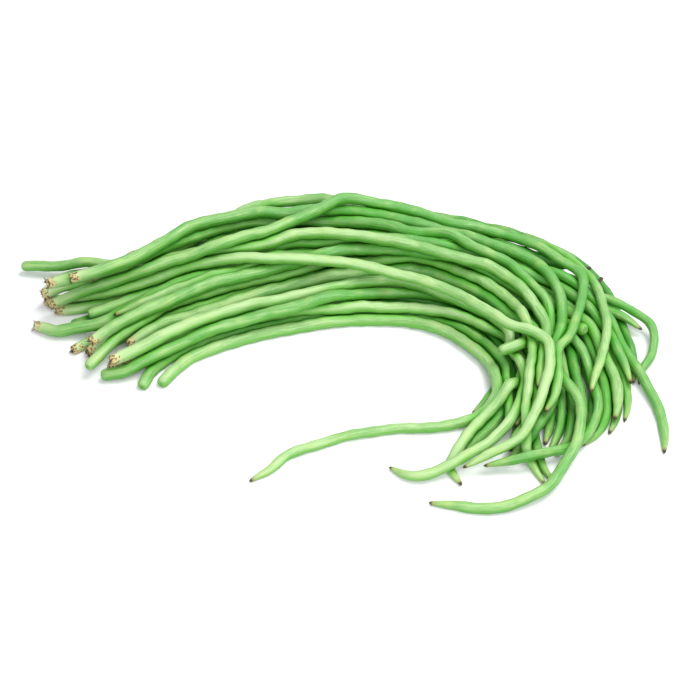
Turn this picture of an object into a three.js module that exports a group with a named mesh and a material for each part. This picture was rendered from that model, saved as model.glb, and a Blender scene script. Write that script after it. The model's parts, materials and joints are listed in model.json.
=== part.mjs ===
// A bunch of yardlong beans laid down on a table. Every pod is one solid of its own: a long thin
// tube with shallow swellings over the seeds, a stalk end and a beak. The pods start together at
// the left, run side by side in an arch, turn at the right and trail back towards the front.
// Millimetres, +Z up, the table is z = 0.
import * as THREE from "three";

// Driving dimensions
const POD_RADIUS = 4.15; // a full pod, in its thick half next to the stalk
const RADIUS_SPREAD = 0.16; // the thickest pod against the thinnest
const TIP_SHARE = 0.8; // how thick the half next to the tip is against the thick half
const THIN_FROM = 0.3; // shares of a pod's length between which it gets thinner
const THIN_TO = 0.9;
const NECK_SHARE = 0.93; // thickness at the stalk end
const NECK_LENGTH = 30;
const POINT_SHARE = 0.58; // thickness where the beak begins
const POINT_LENGTH = 36;
const SIDES = 6; // sides of a pod's section
const SWELLING = 0.07; // how much thinner a pod is between its swellings
const ROUGHNESS = 0.02; // draw on top of that
const SEED = 41;

// Share of the end segment and share of the pod's radius, for each ring of the two ends
const STALK = [[0, 0.62], [0.12, 0.8], [0.28, 0.84], [0.5, 0.93]]; // a corky scar
const BLUNT = [[0, 0.6], [0.08, 0.84], [0.25, 0.94], [0.5, 0.98]]; // a plain rounded end
const STEM = [[0, 0.34], [0.3, 0.28], [0.62, 0.3], [0.85, 0.6]]; // a bit of thin stem left on
const BEAK = [[0.35, 0.54], [0.7, 0.4], [1, 0.19]];

// How the pods settle
const NODE_STEP = 16; // spacing of the nodes of a pod's path
const GAP = 0.45; // clearance kept between two pods that touch
const FLOOR_REACH = 0.45; // skin points this near the table lie flat on it
const FLOOR_SHARE = Math.cos(Math.PI / SIDES); // from a flat side to the axis, against the radius
const LAY_FROM = 50; // height from which a pod is laid on
const LAY_ROUNDS = 160;
const LAY_FALL = 0.6; // fall in a round, halved towards the end
const LAY_FULL_FALL = 0.625; // share of the rounds, after which the fall is halved
const SETTLE_ROUNDS = 600;
const SETTLE_FALL = 0.2;
const SETTLE_FALLING = 0.88; // share of the rounds
const LOOSE_HOLD = 0.01; // share of its drift that a low pod is drawn back by, each round
const FIRM_HOLD = 0.14; // the same for a pod that shows
const BEND_ACROSS = 0.36; // stiffness against the shape of the route
const BEND_UP = 0.2; // stiffness against leaving the level

// The point that the routes below are seen from. A route's numbers say where the pod is seen
// against the table top, so a pod that comes to lie higher slides along its line of sight.
const EYE = new THREE.Vector3(0, -841, 784);

function skin(name, color) {
  return new THREE.MeshStandardMaterial({ name, color, roughness: 0.5, metalness: 0 });
}
const GREEN = skin("pod_green", 0x7cc455);
const PALE = skin("pod_pale", 0x9bdb72);
const DEEP = skin("pod_deep", 0x4f9a36);

function random(seed) {
  let state = seed;
  return () => {
    state = (state * 1664525 + 1013904223) % 4294967296;
    return state / 4294967296;
  };
}
const draw = random(SEED);

// The pods in the order in which they lie on each other, lowest first. Each route runs from the
// stalk to the tip.
const ROUTES = [
  // low pods that the others lie on, with tips in the tail
  [[-188, -4], [-160, 18], [-120, 44], [-60, 62], [0, 72], [50, 68], [88, 44], [114, 16], [124, -18],
    [122, -50], [117, -78], [118, -104], [126, -126]],
  [[-205, 35], [-160, 54], [-100, 78], [-50, 94], [0, 100], [50, 94], [92, 74], [124, 46], [142, 14],
    [141, -12], [138, -36], [136, -62], [130, -92]],
  [[-211, 50], [-160, 72], [-100, 100], [-50, 118], [0, 122], [50, 114], [96, 94], [134, 62],
    [154, 26], [154, -8], [150, -35], [150, -60], [146, -84], [137, -97]],
  [[-160, 84], [-120, 101], [-80, 118], [-30, 132], [20, 132], [70, 118], [114, 96], [146, 66],
    [164, 34], [163, 4], [160, -22], [162, -48], [160, -70], [152, -88]],
  [[-166, -26], [-138, -6], [-104, 14], [-60, 34], [-10, 48], [40, 50], [78, 38], [102, 12],
    [112, -20], [108, -48], [98, -66], [82, -84], [72, -98]],
  [[-138, -26], [-122, -8], [-92, 12], [-50, 29], [0, 38], [45, 38], [76, 26], [96, 2], [104, -24],
    [99, -48], [84, -66]],
  [[-194, 8], [-172, 20], [-100, 62], [-50, 84], [0, 92], [50, 88], [90, 64], [118, 30], [130, -4],
    [129, -38], [122, -66], [106, -86]],
  [[-201, 68], [-150, 84], [-90, 108], [-40, 126], [20, 128], [76, 112], [122, 88], [156, 60],
    [178, 32], [186, 6], [190, -12], [194, -31]],
  [[-130, 98], [-100, 112], [-70, 128], [-20, 138], [30, 134], [84, 118], [126, 96], [160, 70],
    [180, 40], [190, 12], [197, -10], [199, -28]],
  [[-120, 48], [-70, 70], [-10, 86], [50, 82], [92, 58], [122, 24], [134, -6], [134, -34], [127, -60],
    [112, -82], [96, -98]],
  [[-136, 60], [-80, 88], [-20, 104], [40, 100], [90, 78], [128, 46], [147, 12], [148, -14],
    [145, -38], [143, -60], [139, -80], [128, -97]],
  [[-110, 84], [-50, 108], [10, 116], [70, 104], [116, 74], [146, 40], [158, 6], [157, -28],
    [158, -52], [156, -74], [148, -94]],
  [[-100, 98], [-40, 120], [20, 122], [80, 106], [126, 76], [156, 42], [171, 10], [174, -22],
    [174, -44], [171, -62], [163, -79]],
  [[-140, 2], [-110, 26], [-70, 48], [-30, 62], [10, 70], [50, 62], [84, 40], [108, 10], [116, -20],
    [114, -50], [110, -78], [104, -100]],
  [[-90, 134], [-40, 148], [20, 150], [70, 140], [104, 127], [132, 113], [154, 94], [168, 70],
    [174, 44], [175, 16], [174, -12], [170, -36]],
  // two that lie the other way round, with bits of thin stem at the right
  [[178, 91], [165, 92], [140, 100], [110, 112], [60, 130], [0, 140], [-60, 130], [-110, 108],
    [-160, 80]],
  [[185, 76], [179, 66], [162, 62], [138, 76], [100, 100], [50, 118], [0, 126], [-60, 112],
    [-120, 84], [-175, 54]],
  // right-hand tips
  [[-164, 20], [-130, 44], [-80, 74], [-20, 100], [40, 104], [90, 90], [130, 66], [160, 52],
    [181, 47], [190, 40], [200, 32], [208, 24]],
  [[-150, 96], [-110, 118], [-60, 134], [0, 140], [60, 130], [110, 110], [135, 99], [148, 90],
    [156, 81], [162, 67]],
  [[-243, 91], [-220, 91], [-200, 92], [-165, 94], [-120, 104], [-60, 130], [0, 142], [60, 132],
    [110, 108], [135, 90], [150, 75], [165, 60], [181, 48], [190, 46], [200, 40], [208, 33],
    [213, 22], [214, 10], [212, 0], [207, -10], [202, -18], [199, -27], [198, -34]],
  [[-184, -4], [-168, 10], [-130, 40], [-80, 78], [-20, 112], [40, 118], [100, 104], [145, 84],
    [166, 68], [178, 48], [185, 28], [190, 8], [195, -8], [200, -22], [204, -38], [208, -55],
    [209, -70], [208, -88], [206, -101]],
  [[-221, 51], [-205, 54], [-160, 70], [-100, 96], [-40, 116], [20, 122], [80, 110], [130, 84],
    [158, 68], [170, 52], [178, 36], [183, 18], [187, 0], [191, -18], [193, -34]],
  [[-212, 41], [-195, 45], [-180, 52], [-160, 61], [-145, 68], [-130, 76], [-110, 88], [-60, 106],
    [0, 114], [60, 104], [110, 78], [145, 48], [162, 24], [172, 0], [178, -20], [181, -38],
    [180, -55], [177, -69]],
  [[-188, 37], [-178, 42], [-165, 52], [-150, 62], [-135, 71], [-120, 78], [-105, 84], [-60, 100],
    [0, 110], [60, 100], [110, 80], [150, 48], [170, 22], [182, 0], [187, -20], [189, -38],
    [188, -55], [184, -70]],
  [[-224, 26], [-212, 22], [-195, 24], [-180, 27], [-165, 37], [-150, 49], [-130, 64], [-115, 71],
    [-100, 77], [-80, 86], [-40, 98], [0, 106], [60, 98], [110, 72], [145, 45], [165, 14], [173, -15],
    [175, -45], [173, -62], [168, -75], [160, -85], [152, -92]],
  [[174, 20], [158, 28], [140, 42], [118, 66], [88, 88], [50, 100], [0, 106], [-60, 96], [-120, 70],
    [-170, 40]],
  // the inside of the bend and the front of the tail
  [[-131, -33], [-122, -18], [-112, -4], [-100, 5], [-80, 13], [-60, 19], [-40, 25], [-20, 30],
    [0, 34], [20, 35], [40, 33], [55, 29], [70, 20], [82, 9], [92, -4], [99, -18], [103, -33],
    [102, -47], [93, -59], [81, -68], [68, -73], [52, -75], [35, -76], [20, -78], [0, -83],
    [-20, -91], [-35, -98], [-45, -105], [-55, -117], [-65, -124]],
  [[-143, -37], [-138, -22], [-128, -9], [-115, 2], [-100, 10], [-80, 20], [-60, 28], [-40, 33],
    [-20, 38], [0, 40], [40, 38], [60, 34], [70, 28], [80, 22], [90, 12], [98, 2], [105, -10],
    [109, -24], [109, -50], [104, -80]],
  [[-157, -12], [-145, -3], [-130, 8], [-115, 16], [-100, 22], [-80, 29], [-60, 35], [-40, 40],
    [-20, 44], [0, 45], [20, 45], [40, 44], [60, 41], [75, 37], [88, 31], [98, 23], [108, 15],
    [116, 6], [121, -5], [122, -20], [117, -32], [108, -46], [98, -58], [87, -71], [77, -86],
    [69, -100], [66, -110], [68, -118], [72, -127]],
  [[-172, -23], [-150, -15], [-125, 3], [-100, 20], [-60, 36], [-20, 50], [0, 57], [20, 62], [35, 63],
    [50, 62], [65, 58], [75, 53], [85, 46], [95, 37], [105, 28], [114, 17], [121, 5], [124, -10],
    [122, -35], [115, -60]],
  [[-167, -10], [-155, -3], [-140, 8], [-125, 19], [-112, 26], [-100, 33], [-80, 42], [-60, 50],
    [-40, 57], [-20, 64], [0, 70], [15, 73], [30, 73], [45, 70], [75, 55], [95, 42], [110, 25],
    [118, 8], [120, -10], [120, -28], [117, -45], [113, -58], [107, -70], [99, -82], [88, -92],
    [78, -100], [68, -108], [58, -114], [48, -118], [35, -118], [25, -111]],
  [[106, -3], [118, 0], [128, 14], [124, 36], [104, 58], [70, 76], [20, 84], [-40, 76], [-100, 50],
    [-150, 18]],
  [[-158, 8], [-148, 18], [-135, 28], [-120, 35], [-100, 44], [-80, 55], [-60, 65], [-40, 74],
    [-20, 83], [0, 87], [30, 93], [50, 92], [70, 82], [90, 68], [104, 50], [113, 36], [122, 20],
    [128, 5], [131, -12], [130, -30], [126, -50], [121, -70], [105, -98]],
  // the outside of the bend
  [[-190, 74], [-150, 96], [-110, 124], [-75, 157], [-60, 163], [-45, 166], [-30, 166], [20, 160],
    [60, 149], [90, 138], [115, 128], [140, 115], [158, 100], [170, 84], [177, 68], [181, 50],
    [182, 32], [180, 12], [175, -8], [169, -24], [165, -40]],
  [[-182, -17], [-168, 4], [-152, 24], [-130, 43], [-100, 60], [-80, 70], [-60, 80], [-45, 86],
    [0, 106], [25, 104], [45, 101], [60, 97], [80, 90], [95, 77], [107, 64], [117, 51], [122, 38],
    [125, 24], [127, 8], [127, -5], [125, -20], [122, -35], [120, -50], [119, -65], [118, -80],
    [118, -97], [122, -110], [127, -127]],
  [[-183, 8], [-165, 26], [-150, 38], [-130, 52], [-110, 66], [-100, 73], [-80, 82], [-65, 90],
    [-40, 103], [-20, 109], [0, 114], [20, 112], [40, 108], [60, 102], [80, 96], [110, 76], [140, 45],
    [158, 14], [166, -15], [168, -40], [167, -58], [162, -72], [153, -85], [140, -93], [120, -102],
    [100, -107], [86, -110]],
  [[-204, 66], [-160, 88], [-118, 107], [-105, 120], [-90, 131], [-78, 140], [-70, 145], [-40, 154],
    [0, 158], [40, 152], [70, 144], [100, 132], [121, 124]],
  [[-224, 60], [-210, 66], [-190, 72], [-170, 79], [-150, 87], [-130, 96], [-115, 102], [-100, 106],
    [-80, 112], [-60, 119], [-40, 125], [-20, 128], [0, 127], [20, 123], [40, 117], [60, 110],
    [80, 101], [95, 95], [107, 88], [118, 76], [126, 64], [131, 52], [135, 40], [137, 28], [137, 18],
    [134, 5], [131, -12], [128, -40]],
  [[-222, 72], [-205, 77], [-185, 84], [-165, 93], [-150, 103], [-130, 118], [-110, 131], [-95, 138],
    [-80, 144], [-60, 148], [-40, 150], [-15, 149], [0, 146], [20, 139], [40, 131], [60, 124],
    [80, 115], [100, 103], [113, 96], [121, 86], [128, 75], [135, 64], [140, 52], [143, 40],
    [144, 28], [143, 12], [150, -30]],
  [[-206, 79], [-180, 90], [-150, 109], [-130, 128], [-110, 141], [-90, 149], [-70, 154], [-50, 155],
    [-35, 156], [-10, 158], [0, 157], [20, 153], [35, 148], [50, 142], [65, 136], [80, 128],
    [90, 124], [100, 119], [120, 106], [130, 100], [138, 92], [146, 80], [150, 66], [152, 50],
    [151, 35], [148, 20], [143, 6], [140, -7], [142, -20], [150, -32], [154, -46], [155, -62],
    [152, -80], [147, -95], [139, -110], [130, -124], [118, -136], [103, -143], [88, -147],
    [68, -146], [50, -144]],
  [[-218, 50], [-180, 74], [-140, 94], [-100, 112], [-80, 121], [-60, 131], [-45, 141], [-30, 152],
    [-20, 160], [-10, 167], [0, 169], [15, 168], [30, 164], [45, 160], [60, 153], [80, 143],
    [100, 137], [120, 128], [135, 119], [150, 105], [160, 95], [167, 82], [170, 70], [168, 58],
    [164, 43], [160, 30], [157, 22], [152, 12], [145, 1], [143, -15], [142, -30], [138, -46],
    [131, -60]],
  [[-207, 60], [-190, 64], [-170, 71], [-150, 80], [-130, 88], [-110, 94], [-90, 96.5], [-60, 97],
    [-30, 98], [0, 95], [20, 89], [40, 82], [60, 73], [80, 60], [95, 45], [105, 36], [112, 28],
    [120, 22], [130, 16], [138, 9], [139, 0], [139, -10], [137, -22], [133, -35], [129, -50],
    [124, -63], [118, -76], [110, -87], [100, -94], [85, -104], [74, -111]],
];

const LOW_PODS = 15; // the first routes, hardly seen
const DEEP_PODS = 17; // the first routes, in the shade of the others
const PALE_PODS = [23, 26, 27, 29, 31, 32, 34, 35, 38, 42];
const OTHER_ENDS = {
  16: STEM, 17: STEM, 20: BLUNT, 24: BLUNT, 26: BLUNT, 27: BLUNT, 30: BLUNT, 32: BLUNT, 35: BLUNT,
};

// A route at equal steps, on the table plane.
function resample(route) {
  const corners = route.map(([x, y]) => new THREE.Vector3(x, y, 0));
  const curve = new THREE.CatmullRomCurve3(corners, false, "centripetal");
  return curve.getSpacedPoints(Math.round(curve.getLength() / NODE_STEP));
}

// A pod's radius at node k of its path, which has nodes 0 to last.
function girth(radius, k, last) {
  const toTip = Math.min(1, ((last - k) * NODE_STEP) / POINT_LENGTH);
  const toStalk = Math.min(1, (k * NODE_STEP) / NECK_LENGTH);
  const point = POINT_SHARE + (1 - POINT_SHARE) * Math.sqrt(toTip);
  const neck = NECK_SHARE + (1 - NECK_SHARE) * toStalk;
  const thinning = THREE.MathUtils.smoothstep(k / last, THIN_FROM, THIN_TO);
  return radius * Math.min(point, neck) * (1 - (1 - TIP_SHARE) * thinning);
}

function podOf(route, index) {
  const number = index + 1;
  const seen = resample(route);
  const radius = POD_RADIUS * (1 + RADIUS_SPREAD * (draw() - 0.5));
  return {
    number,
    name: `pod_${String(number).padStart(2, "0")}`,
    seen,
    radius,
    girths: seen.map((_, k) => girth(radius, k, seen.length - 1)),
    hold: number > LOW_PODS ? FIRM_HOLD : LOOSE_HOLD,
    nodes: seen.map((point) => point.clone()),
  };
}
const pods = ROUTES.map(podOf);

// The place at height z that is seen over the table point.
function sight(seen, z, out) {
  const share = z / EYE.z;
  return out.set(seen.x + (EYE.x - seen.x) * share, seen.y + (EYE.y - seen.y) * share, z);
}

const unit = (value) => Math.min(1, Math.max(0, value));

// Finds where two straight stretches are nearest to each other. If they are nearer than their
// radii allow, push is told the shares along both, the direction and the depth.
function contact(pod, k, other, j, push) {
  const a = pod.nodes[k];
  const b = other.nodes[j];
  const ux = pod.nodes[k + 1].x - a.x;
  const uy = pod.nodes[k + 1].y - a.y;
  const uz = pod.nodes[k + 1].z - a.z;
  const vx = other.nodes[j + 1].x - b.x;
  const vy = other.nodes[j + 1].y - b.y;
  const vz = other.nodes[j + 1].z - b.z;
  const wx = a.x - b.x;
  const wy = a.y - b.y;
  const wz = a.z - b.z;
  const uu = ux * ux + uy * uy + uz * uz;
  const uv = ux * vx + uy * vy + uz * vz;
  const vv = vx * vx + vy * vy + vz * vz;
  const uw = ux * wx + uy * wy + uz * wz;
  const vw = vx * wx + vy * wy + vz * wz;
  const turn = uu * vv - uv * uv;
  let s = turn > 1e-6 * uu * vv ? unit((uv * vw - vv * uw) / turn) : 0.5;
  let t = (uv * s + vw) / vv;
  if (t < 0 || t > 1) {
    t = unit(t);
    s = unit((uv * t - uw) / uu);
  }
  const dx = wx + s * ux - t * vx;
  const dy = wy + s * uy - t * vy;
  const dz = wz + s * uz - t * vz;
  const distance = Math.hypot(dx, dy, dz);
  const ra = pod.girths[k] * (1 - s) + pod.girths[k + 1] * s;
  const rb = other.girths[j] * (1 - t) + other.girths[j + 1] * t;
  const depth = ra + rb + GAP - distance;
  if (depth > 0) {
    push({ pod, k, s, other, j, t, depth, nx: dx / distance, ny: dy / distance, nz: dz / distance });
  }
}

// The stretches of a pod and of others that may meet, judged by how far apart they start.
function near(pod, others, reach, rise) {
  const pairs = [];
  for (const other of others) {
    for (let k = 0; k < pod.nodes.length - 1; k++) {
      const p = pod.nodes[k];
      for (let j = 0; j < other.nodes.length - 1; j++) {
        const q = other.nodes[j];
        const level = Math.abs(p.x - q.x) < reach && Math.abs(p.y - q.y) < reach;
        if (level && Math.abs(p.z - q.z) < rise) pairs.push([pod, k, other, j]);
      }
    }
  }
  return pairs;
}

// Lays one pod on those already there: each node only slides along its line of sight.
function lay(pod, placed) {
  const count = pod.nodes.length;
  const heights = new Float64Array(count).fill(LAY_FROM);
  const put = (k) => sight(pod.seen[k], heights[k], pod.nodes[k]);
  const push = ({ k, s, nx, ny, nz, depth }) => {
    const rayX = (EYE.x - pod.seen[k].x) / EYE.z;
    const rayY = (EYE.y - pod.seen[k].y) / EYE.z;
    const along = Math.max(0.35, nx * rayX + ny * rayY + nz);
    const lift = depth / along / ((1 - s) * (1 - s) + s * s);
    heights[k] += lift * (1 - s);
    heights[k + 1] += lift * s;
    put(k);
    put(k + 1);
  };
  let pairs = [];
  for (let round = 0; round < LAY_ROUNDS; round++) {
    const fall = round < LAY_ROUNDS * LAY_FULL_FALL ? LAY_FALL : LAY_FALL / 2;
    for (let k = 0; k < count; k++) heights[k] -= fall;
    for (let pass = 0; pass < 3; pass++) {
      for (let k = 1; k < count - 1; k++) {
        const bend = heights[k] - (heights[k - 1] + heights[k + 1]) / 2;
        heights[k] -= 0.4 * bend;
        heights[k - 1] += 0.2 * bend;
        heights[k + 1] += 0.2 * bend;
      }
    }
    for (let k = 0; k < count; k++) {
      heights[k] = Math.max(heights[k], pod.girths[k] * FLOOR_SHARE);
      put(k);
    }
    if (round % 10 === 0) pairs = near(pod, placed, 2.5 * NODE_STEP, Infinity);
    for (let pass = 0; pass < 3; pass++) {
      for (const pair of pairs) contact(...pair, push);
    }
  }
}

// Draws three nodes of a pod towards the bend that its route has there, level otherwise.
function straighten(pod, k, reach) {
  const [p, q, r] = [pod.nodes[k - reach], pod.nodes[k], pod.nodes[k + reach]];
  const [ps, qs, rs] = [pod.seen[k - reach], pod.seen[k], pod.seen[k + reach]];
  const bx = BEND_ACROSS * (q.x - (p.x + r.x) / 2 - (qs.x - (ps.x + rs.x) / 2));
  const by = BEND_ACROSS * (q.y - (p.y + r.y) / 2 - (qs.y - (ps.y + rs.y) / 2));
  const bz = BEND_UP * (q.z - (p.z + r.z) / 2);
  for (const [node, share] of [[q, -1], [p, 0.5], [r, 0.5]]) {
    node.x += share * bx;
    node.y += share * by;
    node.z += share * bz;
  }
}

function relax(pod) {
  const target = new THREE.Vector3();
  pod.nodes.forEach((node, k) => {
    node.z -= SETTLE_FALL;
    sight(pod.seen[k], node.z, target);
    node.x += (target.x - node.x) * pod.hold;
    node.y += (target.y - node.y) * pod.hold;
  });
  for (const reach of [1, 2, 3]) {
    for (let k = reach; k < pod.nodes.length - reach; k++) straighten(pod, k, reach);
  }
}

function separate({ pod, k, s, other, j, t, nx, ny, nz, depth }) {
  const weight = depth / ((1 - s) * (1 - s) + s * s + (1 - t) * (1 - t) + t * t);
  const ends = [[pod, k, 1 - s], [pod, k + 1, s], [other, j, t - 1], [other, j + 1, -t]];
  for (const [owner, at, share] of ends) {
    const node = owner.nodes[at];
    node.x += nx * weight * share;
    node.y += ny * weight * share;
    node.z += nz * weight * share;
  }
}

// Lets all the pods settle on each other, every node free, held to its line of sight. In the last
// rounds nothing falls or bends any more, and the pods only move apart.
function settle(all) {
  let pairs = [];
  for (let round = 0; round < SETTLE_ROUNDS; round++) {
    if (round % 12 === 0) {
      pairs = all.flatMap((pod, i) => near(pod, all.slice(i + 1), 1.63 * NODE_STEP, 24));
    }
    if (round < SETTLE_ROUNDS * SETTLE_FALLING) all.forEach(relax);
    for (let pass = 0; pass < 2; pass++) {
      for (const pair of pairs) contact(...pair, separate);
    }
    for (const pod of all) {
      pod.nodes.forEach((node, k) => {
        node.z = Math.max(node.z, pod.girths[k] * FLOOR_SHARE);
      });
    }
  }
}

const placed = [];
for (const pod of pods) {
  lay(pod, placed);
  placed.push(pod);
}
settle(pods);

// The rings of a pod's skin: the stalk end, the body with its swellings, and the beak.
function ringsOf(pod) {
  const last = pod.nodes.length - 1;
  const between = (k, share) => pod.nodes[k].clone().lerp(pod.nodes[k + 1], share);
  const stretch = (k) => pod.nodes[k + 1].clone().sub(pod.nodes[k]).normalize();
  const along = (k) => stretch(Math.min(last - 1, k)).add(stretch(Math.max(0, k - 1))).normalize();
  const rings = [];
  for (const [share, size] of OTHER_ENDS[pod.number] ?? STALK) {
    rings.push({ centre: between(0, share), radius: pod.radius * size, along: along(0) });
  }
  for (let k = 1; k < last; k++) {
    const swelling = 1 - SWELLING * (k % 2) - ROUGHNESS * draw();
    rings.push({ centre: pod.nodes[k], radius: pod.girths[k] * swelling, along: along(k) });
  }
  for (const [share, size] of BEAK) {
    rings.push({ centre: between(last - 1, share), radius: pod.radius * size, along: along(last) });
  }
  return rings;
}

// The six corners of a ring, with flat sides at the bottom and the top.
function cornersOf({ centre, radius, along }) {
  const up = new THREE.Vector3(0, 0, 1);
  const side = new THREE.Vector3().crossVectors(along, up).normalize();
  const lift = new THREE.Vector3().crossVectors(side, along);
  const corners = [];
  for (let i = 0; i < SIDES; i++) {
    const angle = (2 * Math.PI * i) / SIDES;
    const corner = centre.clone();
    corner.addScaledVector(side, radius * Math.cos(angle));
    corner.addScaledVector(lift, radius * Math.sin(angle));
    if (corner.z < FLOOR_REACH) corner.z = 0;
    corners.push(corner);
  }
  return corners;
}

function podGeometry(pod) {
  const rings = ringsOf(pod);
  const index = [];
  for (let k = 0; k < rings.length - 1; k++) {
    for (let i = 0; i < SIDES; i++) {
      const a = k * SIDES + i;
      const b = k * SIDES + ((i + 1) % SIDES);
      index.push(a, b + SIDES, b, a, a + SIDES, b + SIDES);
    }
  }
  const end = (rings.length - 1) * SIDES;
  for (let i = 1; i < SIDES - 1; i++) {
    index.push(0, i, i + 1);
    index.push(end, end + i + 1, end + i);
  }
  const geometry = new THREE.BufferGeometry().setFromPoints(rings.flatMap(cornersOf));
  geometry.setIndex(index);
  return geometry;
}

function skinOf(number) {
  if (PALE_PODS.includes(number)) return PALE;
  return number > DEEP_PODS ? GREEN : DEEP;
}

const meshes = pods.map((pod) => {
  const mesh = new THREE.Mesh(podGeometry(pod), skinOf(pod.number));
  mesh.name = pod.name;
  return mesh;
});

// The part stands in the middle of its own box, on z = 0.
const box = new THREE.Box3();
for (const mesh of meshes) box.expandByObject(mesh);
const middle = box.getCenter(new THREE.Vector3());
for (const mesh of meshes) mesh.geometry.translate(-middle.x, -middle.y, 0);

const bunch = new THREE.Group();
bunch.name = "yardlong_bean_bunch";
bunch.add(...meshes);
export { pods, middle };
export default bunch;
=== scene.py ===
"""Looks for a bunch of yardlong beans.

Every pod of the frame is drawn again along its own centre line, as a fine, round, slightly knobbly
pod. Its stalk end is a torn scar, a bit of stem or blunt, and its tip is a beak. The skins are
procedural.
"""

import json
import math
import random

import bpy
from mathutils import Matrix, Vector
from mathutils.kdtree import KDTree


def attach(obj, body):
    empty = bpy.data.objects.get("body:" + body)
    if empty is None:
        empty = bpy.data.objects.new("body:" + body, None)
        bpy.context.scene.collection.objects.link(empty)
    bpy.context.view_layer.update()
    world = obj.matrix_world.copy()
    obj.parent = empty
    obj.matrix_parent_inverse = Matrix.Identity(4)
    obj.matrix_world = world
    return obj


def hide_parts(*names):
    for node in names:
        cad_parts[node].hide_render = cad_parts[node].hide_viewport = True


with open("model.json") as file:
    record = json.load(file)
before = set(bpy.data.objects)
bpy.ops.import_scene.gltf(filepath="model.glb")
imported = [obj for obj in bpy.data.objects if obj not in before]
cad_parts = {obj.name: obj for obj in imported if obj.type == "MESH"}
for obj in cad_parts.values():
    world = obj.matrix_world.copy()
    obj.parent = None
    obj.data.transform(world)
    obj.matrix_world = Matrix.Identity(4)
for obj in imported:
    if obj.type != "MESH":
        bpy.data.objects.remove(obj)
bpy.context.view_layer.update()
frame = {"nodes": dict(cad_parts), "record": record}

MM = 0.001
TO_MM = 1000  # the materials read lengths in millimetres
UP = Vector((0, 0, 1))
FIRST_SEED = 100  # each pod has its own seed, counted up from here
SAME_POINT = 2e-6  # corners of the frame's faces that are nearer than this are one point
LEAST_SPAN = 1e-6  # keeps the curve from dividing by nothing where two knots meet

# A drawn pod along its length
FULLER = 1.03  # its radius against the largest of the frame's rings
STEP = 2.4 * MM  # spacing of its rings
CLOSER = 4  # how many times closer the rings are at the ends
CLOSER_POINTS = 4  # points at each end between which they are closer
KNOT_GAP = 7 * MM  # a frame ring that is nearer to the last one used would kink the curve
TIP_KNOT_GAP = 5 * MM  # and so would one that is nearer to the tip
KINKS = 6  # slow bends, two along each axis
KINK_SIZE = (0.1, 0.3)  # in millimetres
KINK_REACH = (24, 55)  # in millimetres
KINK_FADE = 20 * MM  # distance from the ends over which they come in
SEED_PITCH = 13 * MM  # from one bean in the pod to the next
PITCH_DRIFT = 0.12  # how far the beans stray from even places, in pitches
DRIFT_REACH = 31 * MM
WAVES = 4  # slow changes of thickness, which the folds of the skin follow too
WAVE_SIZE = (0.5, 1.0)
WAVE_REACH = (18, 60)  # in millimetres
SLOW_CHANGE = 0.016
SWELLING_FADE = 25 * MM  # distance from the ends over which the swellings come in

# Its section, with angles in radians and sizes against the radius
SIDES = 20
FOLDS = 3  # round the section for the first wave, and one more for each next wave
FOLD_DEPTH = 0.011
FOLD_TURN = 1.6  # reaches of its wave in which a fold shifts by one radian of its phase
FOLD_REACH = 0.9  # reaches of its wave in which its depth does
SEAM_RISE = 0.03
SEAM_WIDTH = 0.24
GROOVE_DEPTH = 0.012
GROOVE_AT = 0.5  # from the seam
GROOVE_WIDTH = 0.2
TORN_ROWS = 5  # rows of random roughness on a scar
TORN_ROUGH = 0.16
TORN_LOBES = 5
TORN_LOBE_SIZE = 0.14

# Its stalk end, with thicknesses against the body's
STEM_BELOW = 0.45  # with a bit of stem, the first frame ring is thinner than this
BLUNT_ABOVE = 0.83  # with a blunt end, the second frame ring is thicker than this
SCAR_SHARE = 0.62
SCAR_DEPTH = 1.3 * MM
COLLAR_RISE = 0.21
COLLAR_LENGTH = 2 * MM
SHOULDER_RISE = 0.1
SHOULDER_LENGTH = 8 * MM
NECK_RISE = 0.07
NECK_LENGTH = 30 * MM
STEM_SHARE = 0.28
STEM_LENGTH = 12 * MM
BLUNT_SHARE = 0.45
BLUNT_LENGTH = 4.5 * MM

# Its tip
TIP_SHARE = 0.8  # how thick a pod is near its tip, against its stalk half
THIN_FROM = 0.3  # share of the length where it starts to get thinner
THIN_OVER = 0.6  # share of the length over which it does
BEAK_SHARE = 0.26
BEAK_LENGTH = 34 * MM
BEAK_CURVE = 2.75
POINT_SHARE = 0.2
POINT_LENGTH = 1.5 * MM
POINT_RISE = 0.4 * MM

# Dried strands of the flower cup round a scar
STRANDS = (5, 11)
STRAND_LENGTH = (1.6, 3.8)  # in millimetres
STRAND_RADIUS = (0.3, 0.55)  # in millimetres, at the root
STRAND_PLACE = (0.3, 0.95)  # how far out they start, against the scar's radius
STRAND_OUT = (0.3, 1.2)  # how they lean outwards, and back from the pod
STRAND_BACK = (0.2, 1.0)
STRAND_RINGS = 4
STRAND_SIDES = 5
STRAND_TAPER = 0.8
STRAND_ROOT = 0.6 * MM  # how deep in the scar they start
STRAND_CURL = 0.7

# What the material is told of distances from the stalk
DRIED = -4 * MM  # a place that is dry and dark all over
PAST_STEM = 15 * MM  # added behind a stem, where there is no cork
PAST_CORK = 20 * MM  # added on a pod with a blunt end, which has none either

# Gaps to the next pod over which its effect on the skin, a painted shade and a weaker shine, goes
# from full to none
CONTACT = (0.3 * MM, 1.8 * MM)
SHELTER = (0.8 * MM, 6.5 * MM)
PODS_WITHIN = 12 * MM  # a centre line farther away than this has no effect
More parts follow.
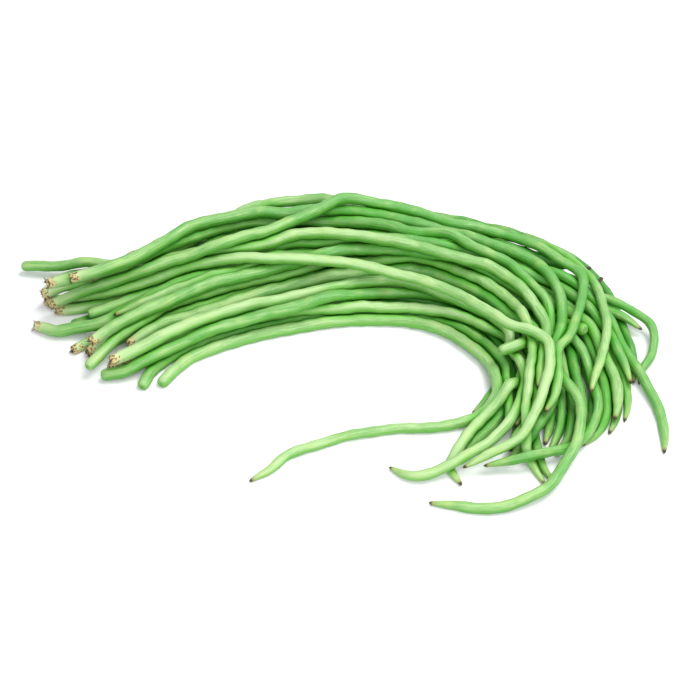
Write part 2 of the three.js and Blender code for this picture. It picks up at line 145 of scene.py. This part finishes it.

# Each kind's light and deep green, and the deeper green painted as shade on its flanks and near
# other pods
GREENS = {
    "pod_pale": ((0.36, 0.53, 0.23), (0.165, 0.37, 0.1), (0.08, 0.37, 0.012)),
    "pod_green": ((0.285, 0.475, 0.165), (0.1, 0.32, 0.065), (0.05, 0.31, 0.006)),
    "pod_deep": ((0.215, 0.44, 0.115), (0.055, 0.25, 0.035), (0.022, 0.22, 0.003)),
}
SPECK = (0.5, 0.66, 0.28)
RIPE_PATCH = (0.46, 0.56, 0.17)
# Near-black green painted as shade in the crevices where pods touch
CREVICE_SHADE = (0.002, 0.07, 0.0)
NECK = (0.44, 0.58, 0.28)
COLLAR = (0.62, 0.66, 0.38)
FADED_TIP = (0.42, 0.5, 0.17)
CORK_PIT = (0.09, 0.05, 0.012)
CORK = (0.56, 0.46, 0.2)
DRY_STRAND = (0.04, 0.04, 0.015)
TIP_TAN = (0.3, 0.28, 0.09)
TIP_POINT = (0.04, 0.028, 0.01)

# Tones of pods that show well in the photograph, 0 the lightest of their kind and 1 the deepest.
# The one on top of the bunch is lighter still. The tones of all others are drawn.
TONES = {
    "pod_42": -0.4,
    "pod_35": 0.05,
    "pod_31": 0.1,
    "pod_34": 0.35,
    "pod_40": 0.6,
    "pod_37": 0.9,
}

# The eye that the photograph was taken from, and the point it looks at, in the part's frame
EYE = Vector((0.01257, -0.84269, 0.784))
LOOK_AT = Vector((0.01257, -0.00169, 0.0))
SENSOR_WIDTH = 36
LENS = 84.5
NEAREST_SEEN = 0.05

FLOOR_CORNERS = [(-6, -6, 0), (6, -6, 0), (6, 9, 0), (-6, 9, 0)]
FLOOR_WHITES = ((0.82, 0.825, 0.83), (0.84, 0.84, 0.84))
SKY_COLOUR = (0.93, 0.97, 1.0)
SKY_STRENGTH = 0.55


def ease(x):
    """From 0 to 1 with a soft start and end."""
    x = min(1.0, max(0.0, x))
    return x * x * (3 - 2 * x)


def opaque(colour):
    return (*colour, 1)


# Reading a pod of the frame


def merged(mesh):
    """The mesh's points with equal ones merged, and each point's neighbours."""
    tree = KDTree(len(mesh.vertices))
    for v in mesh.vertices:
        tree.insert(v.co, v.index)
    tree.balance()
    first = {}
    for v in mesh.vertices:
        first[v.index] = min(i for _, i, _ in tree.find_range(v.co, SAME_POINT))
    links = {i: set() for i in set(first.values())}
    for edge in mesh.edges:
        a, b = (first[i] for i in edge.vertices)
        if a != b:
            links[a].add(b)
            links[b].add(a)
    return {i: mesh.vertices[i].co.copy() for i in links}, links


def rings_of(node):
    """Centres and radii of the rings of a frame pod, from its stalk to its beak.

    A ring has six corners, and between the ends each of them has six neighbours. The end faces are
    fans, so one corner of an end ring has seven neighbours, and the others have fewer than six.
    """
    points, links = merged(node.data)
    apex = [i for i in links if len(links[i]) == 7][0]
    ring = {apex} | {j for j in links[apex] if len(links[j]) != 6}
    seen = set()
    rings = []
    while ring:
        seen |= ring
        middle = sum((points[i] for i in ring), Vector()) / len(ring)
        radius = max((points[i] - middle).length for i in ring)
        rings.append((middle, radius))
        ring = {j for i in ring for j in links[i]} - seen
    if rings[0][1] < rings[-1][1]:
        rings.reverse()
    return rings


def stalk_end(rings, body):
    """What kind of stalk end a frame pod has."""
    if rings[1][1] / body > BLUNT_ABOVE:
        return "blunt"
    return "stem" if rings[0][1] / body < STEM_BELOW else "scar"


# The path of a pod


def smooth_path(knots, step):
    """Points at about equal steps on a centripetal spline through the knots."""
    ends = [knots[0] * 2 - knots[1]] + knots + [knots[-1] * 2 - knots[-2]]
    out = []
    for i in range(1, len(ends) - 2):
        p0, p1, p2, p3 = ends[i - 1 : i + 3]
        t1 = max(LEAST_SPAN, (p1 - p0).length) ** 0.5
        t2 = t1 + max(LEAST_SPAN, (p2 - p1).length) ** 0.5
        t3 = t2 + max(LEAST_SPAN, (p3 - p2).length) ** 0.5
        count = max(1, round((p2 - p1).length / step))
        for k in range(count):
            t = t1 + (t2 - t1) * k / count
            a1 = p0 * ((t1 - t) / t1) + p1 * (t / t1)
            a2 = p1 * ((t2 - t) / (t2 - t1)) + p2 * ((t - t1) / (t2 - t1))
            a3 = p2 * ((t3 - t) / (t3 - t2)) + p3 * ((t - t2) / (t3 - t2))
            b1 = a1 * ((t2 - t) / t2) + a2 * (t / t2)
            b2 = a2 * ((t3 - t) / (t3 - t1)) + a3 * ((t - t1) / (t3 - t1))
            out.append(b1 * ((t2 - t) / (t2 - t1)) + b2 * ((t - t1) / (t2 - t1)))
    out.append(knots[-1])
    return out


def closer(points):
    """The same stretch of path in shorter steps."""
    out = []
    for a, b in zip(points, points[1:]):
        out += [a.lerp(b, k / CLOSER) for k in range(CLOSER)]
    return out + [points[-1]]


def centre_line(centres):
    """A fine path through the centres of a frame pod's rings."""
    knots = [centres[0]]
    for c in centres[1:-1]:
        if (c - knots[-1]).length > KNOT_GAP and (c - centres[-1]).length > TIP_KNOT_GAP:
            knots.append(c)
    knots.append(centres[-1])
    path = smooth_path(knots, STEP)
    stalk, tip = path[:CLOSER_POINTS], path[-CLOSER_POINTS:]
    return closer(stalk) + path[CLOSER_POINTS:-CLOSER_POINTS] + closer(tip)


def distances(path):
    """How far along the path each of its points is."""
    at = [0.0]
    for a, b in zip(path, path[1:]):
        at.append(at[-1] + (b - a).length)
    return at


def kink(path, at, rnd):
    """Bends the path a little, as a pod is bent where it grew round a leaf."""
    bends = [
        (rnd.uniform(*KINK_SIZE) * MM, rnd.uniform(0, math.tau), rnd.uniform(*KINK_REACH) * MM)
        for _ in range(KINKS)
    ]
    for p, s in zip(path, at):
        fade = ease(s / KINK_FADE) * ease((at[-1] - s) / KINK_FADE)
        shift = [0.0, 0.0, 0.0]
        for which, (size, start, reach) in enumerate(bends):
            shift[which % 3] += size * fade * math.sin(math.tau * s / reach + start)
        p += Vector(shift)


# The shape of a pod


class Form:
    """How thick one pod is along its length and round its section."""

    def __init__(self, rnd, end, body, total):
        self.end = end
        self.body = body
        self.total = total
        self.pitch = SEED_PITCH * rnd.uniform(0.9, 1.12)
        self.phase = rnd.uniform(0, 1)
        self.knob = rnd.uniform(0.025, 0.055)
        self.flat = rnd.uniform(0.02, 0.06)
        self.seam = rnd.uniform(0, math.tau)
        self.twist = rnd.uniform(-12, 12)  # radians in a metre
        scar = rnd.uniform(2.0, 3.4) * MM
        self.stub = {"scar": scar, "stem": STEM_LENGTH, "blunt": 0.0}[end]
        self.waves = [
            (rnd.uniform(*WAVE_SIZE), rnd.uniform(0, math.tau), rnd.uniform(*WAVE_REACH) * MM)
            for _ in range(WAVES)
        ]
        self.rough = [[rnd.uniform(-1, 1) for _ in range(SIDES)] for _ in range(TORN_ROWS)]

    def swell(self, s):
        """The swellings over the beans, from -1 to 1."""
        drift = PITCH_DRIFT * math.sin(s / DRIFT_REACH + self.seam)
        return math.cos(math.tau * ((s / self.pitch + self.phase + drift) % 1.0))

    def neck(self, s):
        """Thickness of the stalk end, against the body."""
        if self.end == "blunt":
            left = 1 - min(1.0, s / BLUNT_LENGTH)
            return BLUNT_SHARE + (1 - BLUNT_SHARE) * math.sqrt(max(0.0, 1 - left**2))
        if self.end == "stem":
            return STEM_SHARE + (1 - STEM_SHARE) * ease((s - self.stub) / SHOULDER_LENGTH)
        neck = SCAR_SHARE + COLLAR_RISE * ease(s / COLLAR_LENGTH)
        neck += SHOULDER_RISE * ease((s - COLLAR_LENGTH) / SHOULDER_LENGTH)
        return neck + NECK_RISE * min(1.0, s / NECK_LENGTH)

    def beak(self, s):
        """Thickness of the tip end, against the body."""
        left = self.total - s
        inward = 1 - min(1.0, left / BEAK_LENGTH)
        beak = BEAK_SHARE + (1 - BEAK_SHARE) * (1 - inward**BEAK_CURVE)
        beak *= math.sqrt(min(1.0, POINT_SHARE + left / POINT_LENGTH))
        return beak * (1 - (1 - TIP_SHARE) * ease((s / self.total - THIN_FROM) / THIN_OVER))

    def radius(self, s):
        """The radius without folds and seams, at a distance from the stalk."""
        slow = sum(w * math.sin(math.tau * s / l + p) for w, p, l in self.waves) * SLOW_CHANGE
        fade = ease((s - self.stub) / SWELLING_FADE) * ease((self.total - s) / SWELLING_FADE)
        change = 1 + (self.knob * self.swell(s) + slow) * fade
        return self.body * FULLER * min(self.neck(s), self.beak(s)) * change

    def turn(self, s):
        """The angle of the seam."""
        return self.seam + self.twist * s

    def lobe(self, s, corner):
        """Distance of a corner from the centre line, against the radius."""
        a = math.tau * corner / SIDES
        turn = self.turn(s)
        lobe = 1 + self.flat * math.cos(2 * (a - turn))
        for number, (size, start, reach) in enumerate(self.waves):
            fold = a * (FOLDS + number) - turn + start + s / (reach * FOLD_TURN)
            fade = math.sin(s / (reach * FOLD_REACH) + 2 * start)
            lobe += FOLD_DEPTH * size * math.sin(fold) * fade
        for ridge in (turn, turn + math.pi):
            near = abs((a - ridge + math.pi) % math.tau - math.pi)
            lobe += SEAM_RISE * math.exp(-((near / SEAM_WIDTH) ** 2))
            lobe -= GROOVE_DEPTH * math.exp(-(((near - GROOVE_AT) / GROOVE_WIDTH) ** 2))
        if s < self.stub:
            row = self.rough[min(TORN_ROWS - 1, int(TORN_ROWS * s / self.stub))]
            torn = TORN_ROUGH * row[corner] + TORN_LOBE_SIZE * math.cos(TORN_LOBES * a + self.seam)
            lobe *= 1 + (1 - s / self.stub) * torn
        return lobe


class Skin:
    """The points and faces of a pod, and what its material reads at each point."""

    def __init__(self):
        self.places = []
        self.along = []
        self.tip_at = []
        self.unrolled = []
        self.faces = []

    def point(self, place, along, tip_at, unrolled):
        """Adds a point, which is never below the table, and gives back its number."""
        self.unrolled += [c * TO_MM for c in unrolled]
        place.z = max(place.z, 0.0)
        self.places.append(place)
        self.along.append(along)
        self.tip_at.append(tip_at)
        return len(self.places) - 1


def draw_tube(skin, path, at, form):
    """The skin round the path, with a sunken scar at the stalk and a point at the beak."""
    side = None
    for k, p in enumerate(path):
        ahead = (path[min(k + 1, len(path) - 1)] - path[max(k - 1, 0)]).normalized()
        if side is None:
            side = ahead.cross(UP).normalized()
        side = (side - ahead * side.dot(ahead)).normalized()
        up = side.cross(ahead)
        s = at[k]
        r = form.radius(s)
        turn = form.turn(s)
        for i in range(SIDES):
            a = math.tau * i / SIDES
            place = p + (side * math.cos(a) + up * math.sin(a)) * r * form.lobe(s, i)
            unrolled = (r * math.cos(a - turn), r * math.sin(a - turn), s)
            skin.point(place, s, form.total - s, unrolled)
    for k in range(len(path) - 1):
        for i in range(SIDES):
            a = k * SIDES + i
            b = k * SIDES + (i + 1) % SIDES
            skin.faces.append((a, a + SIDES, b + SIDES, b))

    ahead = (path[1] - path[0]).normalized()
    hub = skin.point(path[0] + ahead * SCAR_DEPTH, 0.0, form.total, (0, 0, 0))
    for i in range(SIDES):
        skin.faces.append((hub, i, (i + 1) % SIDES))
    ahead = (path[-1] - path[-2]).normalized()
    hub = skin.point(path[-1] + ahead * POINT_RISE, form.total, 0.0, (0, 0, form.total))
    last = (len(path) - 1) * SIDES
    for i in range(SIDES):
        skin.faces.append((hub, last + (i + 1) % SIDES, last + i))


def draw_strands(skin, path, form, rnd):
    """The dried strands round a scar, each a thin curled cone."""
    ahead = (path[1] - path[0]).normalized()
    across = ahead.cross(UP).normalized()
    upright = across.cross(ahead)
    for _ in range(rnd.randint(*STRANDS)):
        turn = rnd.uniform(0, math.tau)
        out = across * math.cos(turn) + upright * math.sin(turn)
        root = path[0] + out * form.radius(0) * rnd.uniform(*STRAND_PLACE) + ahead * STRAND_ROOT
        lean = (out * rnd.uniform(*STRAND_OUT) - ahead * rnd.uniform(*STRAND_BACK)).normalized()
        curl = Vector([rnd.uniform(-STRAND_CURL, STRAND_CURL) for _ in range(3)])
        length = rnd.uniform(*STRAND_LENGTH) * MM
        radius = rnd.uniform(*STRAND_RADIUS) * MM
        first = len(skin.places)
        for k in range(STRAND_RINGS):
            reach = k / (STRAND_RINGS - 1)
            centre = root + lean * length * reach + curl * length * reach * reach * 0.5
            for i in range(STRAND_SIDES):
                a = math.tau * i / STRAND_SIDES
                corner = (across * math.cos(a) + upright * math.sin(a)).cross(lean)
                place = centre + corner * radius * (1 - STRAND_TAPER * reach)
                skin.point(place, DRIED, form.total, place)
        for k in range(STRAND_RINGS - 1):
            for i in range(STRAND_SIDES):
                a = first + k * STRAND_SIDES + i
                b = first + k * STRAND_SIDES + (i + 1) % STRAND_SIDES
                skin.faces.append((a, b, b + STRAND_SIDES, a + STRAND_SIDES))


def store(mesh, name, values, kind="FLOAT"):
    """Keeps a value at each of the mesh's points, for the material to read."""
    layer = mesh.attributes.new(name, kind, "POINT")
    layer.data.foreach_set("vector" if kind == "FLOAT_VECTOR" else "value", values)


def build_pod(node, seed):
    """Draws one pod of the frame, and gives back its object and its centres and radii."""
    rnd = random.Random(seed)
    rings = rings_of(node)
    body = max(r for _, r in rings)
    end = stalk_end(rings, body)
    path = centre_line([c for c, _ in rings])
    at = distances(path)
    kink(path, at, rnd)
    form = Form(rnd, end, body, at[-1])

    skin = Skin()
    draw_tube(skin, path, at, form)
    if end == "scar":
        draw_strands(skin, path, form, rnd)
    along = skin.along
    if end == "stem":
        along = [DRIED if s < form.stub else s + PAST_STEM for s in along]
    if end == "blunt":
        along = [s + PAST_CORK for s in along]

    mesh = bpy.data.meshes.new(node.name + "_skin")
    mesh.from_pydata(skin.places, [], skin.faces)
    mesh.update()
    store(mesh, "along", [s * TO_MM for s in along])
    store(mesh, "tip_at", [s * TO_MM for s in skin.tip_at])
    tone = TONES.get(node.name, rnd.uniform(0, 1))
    store(mesh, "tone", [tone] * len(skin.places))
    store(mesh, "skin", skin.unrolled, "FLOAT_VECTOR")
    for polygon in mesh.polygons:
        polygon.use_smooth = True
    piece = bpy.data.objects.new(node.name + "_skin", mesh)
    bpy.context.scene.collection.objects.link(piece)
    return piece, [(p, form.radius(s)) for p, s in zip(path, at)]


def mark_contacts(pods):
    """Stores on every point how near another pod's skin is, closely and more widely, from 0 to 1."""
    # The material paints shade from these two values, and shines less where the close one is high
    tree = KDTree(sum(len(spine) for _, spine in pods))
    owner, size = [], []
    for number, (_, spine) in enumerate(pods):
        for p, r in spine:
            tree.insert(p, len(owner))
            owner.append(number)
            size.append(r)
    tree.balance()
    for number, (piece, _) in enumerate(pods):
        gaps = []
        for v in piece.data.vertices:
            gap = SHELTER[1]
            for _, i, distance in tree.find_range(v.co, PODS_WITHIN):
                if owner[i] != number:
                    gap = min(gap, max(0.0, distance - size[i]))
            gaps.append(gap)
        for name, (near, far) in (("contact", CONTACT), ("shelter", SHELTER)):
            store(piece.data, name, [1 - ease((gap - near) / (far - near)) for gap in gaps])


# Materials


class Nodes:
    """A little help for building a material's node tree."""

    def __init__(self, name):
        self.material = bpy.data.materials.new(name)
        self.material.use_nodes = True
        self.tree = self.material.node_tree
        self.tree.nodes.clear()

    def add(self, kind, inputs=None, **settings):
        """A node whose inputs are linked where a value is a socket, and set where it isn't."""
        node = self.tree.nodes.new(kind)
        for key, value in settings.items():
            setattr(node, key, value)
        for key, value in (inputs or {}).items():
            if isinstance(value, bpy.types.NodeSocket):
                self.tree.links.new(value, node.inputs[key])
            else:
                node.inputs[key].default_value = value
        return node

    def attribute(self, name, out="Fac"):
        return self.add("ShaderNodeAttribute", attribute_name=name).outputs[out]

    def noise(self, vector, scale, detail=2.0, rough=0.5):
        values = {"Vector": vector, "Scale": scale, "Detail": detail, "Roughness": rough}
        return self.add("ShaderNodeTexNoise", values).outputs["Fac"]

    def span(self, value, low, high, to_low, to_high):
        """Eases from to_low to to_high while the value goes from low to high."""
        values = {"Value": value, "From Min": low, "From Max": high}
        values.update({"To Min": to_low, "To Max": to_high})
        node = self.add("ShaderNodeMapRange", values, interpolation_type="SMOOTHSTEP")
        return node.outputs["Result"]

    def rise(self, value, low, high, top=1.0):
        return self.span(value, low, high, 0.0, top)

    def fall(self, value, low, high, top=1.0):
        return self.span(value, low, high, top, 0.0)

    def math(self, how, a, b):
        return self.add("ShaderNodeMath", {0: a, 1: b}, operation=how).outputs[0]

    def times(self, value, weight):
        return self.math("MULTIPLY", value, weight)

    def total(self, first, *others):
        for other in others:
            first = self.math("ADD", first, other)
        return first

    def vector_math(self, how, a, b):
        return self.add("ShaderNodeVectorMath", {0: a, 1: b}, operation=how)

    def scaled(self, vector, scale):
        return self.vector_math("MULTIPLY", vector, scale).outputs[0]

    def mix(self, factor, a, b):
        node = self.add("ShaderNodeMix", {0: factor, 6: a, 7: b}, data_type="RGBA")
        return node.outputs[2]

    def paint(self, factor, under, colour):
        """A plain colour laid over another."""
        return self.mix(factor, under, opaque(colour))

    def finish(self, inputs):
        """Ends the tree with a surface that has these inputs, and gives back the material."""
        surface = self.add("ShaderNodeBsdfPrincipled", inputs)
        self.add("ShaderNodeOutputMaterial", {"Surface": surface.outputs["BSDF"]})
        return self.material


def fresh_green(n, place, light, deep, streaks, fibres, clouds):
    """From light to deep by pattern, by the pod's tone, and towards the back right of the bunch."""
    back = n.vector_math("DOT_PRODUCT", place, (0.7, 1.0, 0.0)).outputs["Value"]
    depth = n.total(
        n.times(n.rise(clouds, 0.32, 0.68), 0.55),
        n.times(n.rise(streaks, 0.35, 0.68), 0.42),
        n.times(n.rise(fibres, 0.4, 0.6), 0.3),
        n.times(n.attribute("tone"), 0.34),
        n.rise(back, 0.0, 0.16, top=0.42),
        -0.33,
    )
    return n.mix(n.rise(depth, 0.0, 1.0), opaque(light), opaque(deep))


def painted_shade(n, green, painted_shade_green, contact):
    """Painted shade: a deeper green on the flanks and near other pods, and almost black where they
    touch.
    """
    facing = n.add("ShaderNodeSeparateXYZ", {0: n.add("ShaderNodeNewGeometry").outputs["Normal"]})
    # Flanks that face sideways or down get painted shade from their normals, and places near other
    # pods get it from the shelter value
    flank_shade = n.fall(facing.outputs["Z"], -0.1, 0.8, top=0.75)
    shade = n.math("MAXIMUM", flank_shade, n.times(n.attribute("shelter"), 0.9))
    green = n.paint(shade, green, painted_shade_green)
    # A near-black painted shade in the crevices where pods touch
    return n.paint(n.times(contact, 0.95), green, CREVICE_SHADE)


def pale_ends(n, green, along, tip_at, clouds):
    """Paler towards both ends, by distances that the clouds make uneven."""
    neck = n.fall(n.total(along, n.times(clouds, 14.0)), 8.0, 34.0, top=0.55)
    green = n.paint(neck, green, NECK)
    collar = n.fall(n.total(along, n.times(clouds, 6.0)), 4.0, 13.0, top=0.5)
    green = n.paint(collar, green, COLLAR)
    tip = n.fall(n.total(tip_at, n.times(clouds, 10.0)), 8.0, 30.0, top=0.22)
    return n.paint(tip, green, FADED_TIP)


def dry_places(n, green, along, tip_at, crumbs, blots):
    """Cork round the scar, dry strands and stems, and the brown point of the beak."""
    cork = n.mix(n.rise(crumbs, 0.42, 0.54), opaque(CORK_PIT), opaque(CORK))
    edge = n.total(along, n.times(n.math("SUBTRACT", blots, 0.5), 22.0))
    green = n.mix(n.fall(edge, 4.2, 6.2), green, cork)
    green = n.paint(n.fall(along, -3.0, -1.0), green, DRY_STRAND)
    point = n.total(tip_at, n.times(n.math("SUBTRACT", crumbs, 0.5), 4.0))
    green = n.paint(n.fall(point, 2.2, 6.0, top=0.7), green, TIP_TAN)
    return n.paint(n.fall(point, 0.9, 3.2), green, TIP_POINT)


def relief(n, fine, crumbs, along):
    """Fine relief all over, and crumbly grain where the pod is dry at its stalk."""
    smooth = n.add("ShaderNodeBump", {"Strength": 0.5, "Distance": 1.1 * MM, "Height": fine})
    grain = n.add("ShaderNodeBump", {
        "Strength": n.fall(along, 3.0, 6.0, top=0.9),
        "Distance": 0.8 * MM,
        "Height": crumbs,
        "Normal": smooth.outputs["Normal"],
    })
    return grain.outputs["Normal"]


def bean_skin(name, light, deep, painted_shade_green):
    """A fresh pod's skin. It reads distances from the stalk and from the tip in millimetres."""
    n = Nodes(name)
    unrolled = n.attribute("skin", "Vector")
    along = n.attribute("along")
    tip_at = n.attribute("tip_at")
    contact = n.attribute("contact")
    place = n.add("ShaderNodeTexCoord").outputs["Object"]

    streaks = n.noise(n.scaled(unrolled, (0.9, 0.9, 0.035)), scale=1.0, detail=3.0, rough=0.6)
    fibres = n.noise(n.scaled(unrolled, (2.4, 2.4, 0.05)), scale=1.0, rough=0.6)
    clouds = n.noise(n.scaled(unrolled, (0.1, 0.1, 0.03)), scale=1.0)
    specks = n.noise(place, scale=900.0, rough=0.6)
    patches = n.noise(place, scale=85.0)
    crumbs = n.noise(place, scale=620.0, detail=3.0, rough=0.7)
    blots = n.noise(place, scale=330.0, rough=0.6)

    green = fresh_green(n, place, light, deep, streaks, fibres, clouds)
    green = n.paint(n.rise(specks, 0.58, 0.8, top=0.3), green, SPECK)
    green = n.paint(n.rise(patches, 0.5, 0.72, top=0.24), green, RIPE_PATCH)
    # Painted shade on the flanks, near other pods and in the crevices
    green = painted_shade(n, green, painted_shade_green, contact)
    green = pale_ends(n, green, along, tip_at, clouds)
    green = dry_places(n, green, along, tip_at, crumbs, blots)
    fine = n.total(streaks, n.times(n.total(specks, fibres), 0.35))
    return n.finish({
        "Base Color": green,
        "Roughness": n.span(streaks, 0.3, 0.7, 0.36, 0.5),
        "Normal": relief(n, fine, crumbs, along),
        "Subsurface Weight": 0.1,
        "Subsurface Radius": (0.5, 1.0, 0.2),
        "Subsurface Scale": 3 * MM,
        "Specular IOR Level": n.span(contact, 0.0, 1.0, 0.42, 0.08),
    })


def floor_white():
    n = Nodes("floor_white")
    paper = n.noise(n.add("ShaderNodeTexCoord").outputs["Object"], scale=3.0)
    white = n.mix(paper, opaque(FLOOR_WHITES[0]), opaque(FLOOR_WHITES[1]))
    return n.finish({"Base Color": white, "Roughness": 0.9, "Specular IOR Level": 0.1})


# The pods

skins = {kind: bean_skin(kind + "_skin", *greens) for kind, greens in GREENS.items()}
slots = {entry["node"]: entry["material_slot"] for entry in frame["record"]["subparts"]}

made = []
for number, name in enumerate(sorted(frame["nodes"])):
    pod, spine = build_pod(frame["nodes"][name], FIRST_SEED + number)
    made.append((pod, spine))
    pod.data.materials.append(skins[slots[name]])
    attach(pod, "root")
    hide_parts(name)

mark_contacts(made)

# A plain pale floor

floor_mesh = bpy.data.meshes.new("floor")
floor_mesh.from_pydata(FLOOR_CORNERS, [], [(0, 1, 2, 3)])
floor_mesh.materials.append(floor_white())
floor = bpy.data.objects.new("floor", floor_mesh)
bpy.context.scene.collection.objects.link(floor)

# Soft studio light, shown without a film curve so that white stays white

bpy.context.scene.view_settings.view_transform = "Standard"
world = bpy.data.worlds.new("studio")
bpy.context.scene.world = world
world.use_nodes = True
sky = world.node_tree.nodes["Background"]
sky.inputs["Color"].default_value = opaque(SKY_COLOUR)
sky.inputs["Strength"].default_value = SKY_STRENGTH


def softbox(name, place, size, power, colour):
    """A rectangle of light that faces the middle of the bunch."""
    light = bpy.data.lights.new(name, "AREA")
    light.shape = "RECTANGLE"
    light.size, light.size_y = size
    light.energy = power
    light.color = colour
    box = bpy.data.objects.new(name, light)
    box.location = place
    box.rotation_euler = (-Vector(place)).to_track_quat("-Z", "Y").to_euler()
    bpy.context.scene.collection.objects.link(box)


softbox("key", place=(0.5, 0.2, 1.3), size=(1.0, 0.9), power=21, colour=(1.0, 0.99, 0.98))
softbox("fill", place=(0.1, -1.1, 1.0), size=(1.0, 1.0), power=14.5, colour=(1, 1, 1))

# The camera

camera_data = bpy.data.cameras.new("camera")
camera_data.sensor_width = SENSOR_WIDTH
camera_data.lens = LENS
camera_data.clip_start = NEAREST_SEEN
camera = bpy.data.objects.new("camera", camera_data)
camera.location = EYE
camera.rotation_euler = (LOOK_AT - EYE).to_track_quat("-Z", "Y").to_euler()
bpy.context.scene.collection.objects.link(camera)
bpy.context.scene.camera = camera
